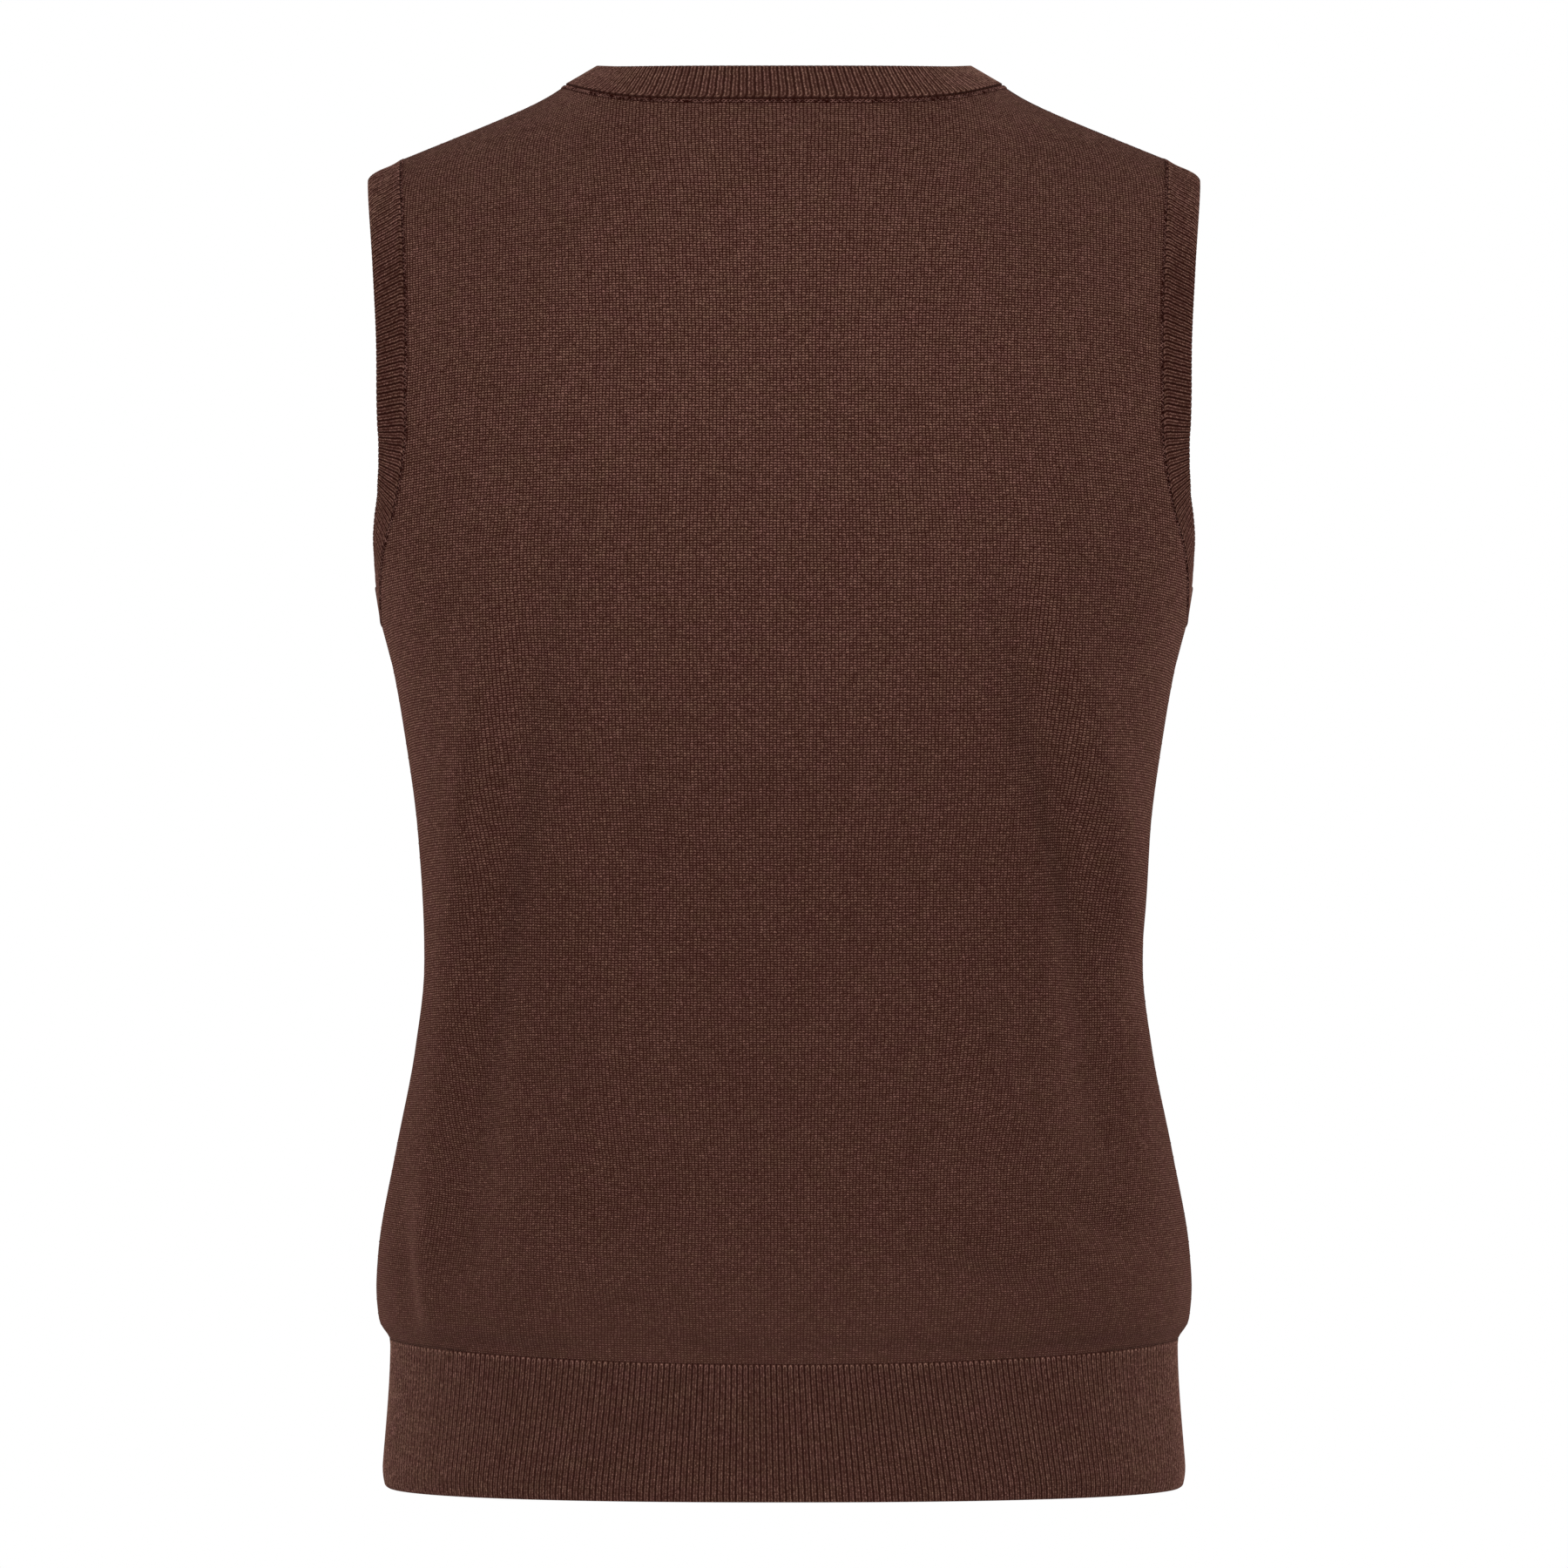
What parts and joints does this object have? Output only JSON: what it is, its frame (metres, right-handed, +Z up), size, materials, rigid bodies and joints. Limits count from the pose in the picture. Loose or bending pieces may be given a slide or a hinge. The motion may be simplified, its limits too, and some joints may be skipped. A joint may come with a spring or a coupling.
{
  "type": "knitted sweater vest",
  "caption": "Sleeveless fine-knit sweater vest, filled out as when worn: plain jersey back and front, V neck, ribbed neckband, armbands and hem, open neck, armholes and hem.",
  "frame": {"origin": "on the centre plane, level with the points where the shoulder seams meet the neckband; the wearer's shoulders hold the vest up there", "axes": "+Z up, -Y the wearer's front, +X the wearer's left"},
  "size_m": [0.3352, 0.2282, 0.5724],
  "materials": {
    "jersey": "matt fine-gauge plain jersey, dark reddish brown",
    "rib": "matt 1x1 rib in the same yarn, a little darker in its grooves"
  },
  "bodies": {
    "root": {"back": "jersey", "front": "jersey", "hem_rib_back": "rib", "hem_rib_front": "rib", "neckband": "rib", "armband_left": "rib", "armband_right": "rib"}
  },
  "joints": []
}
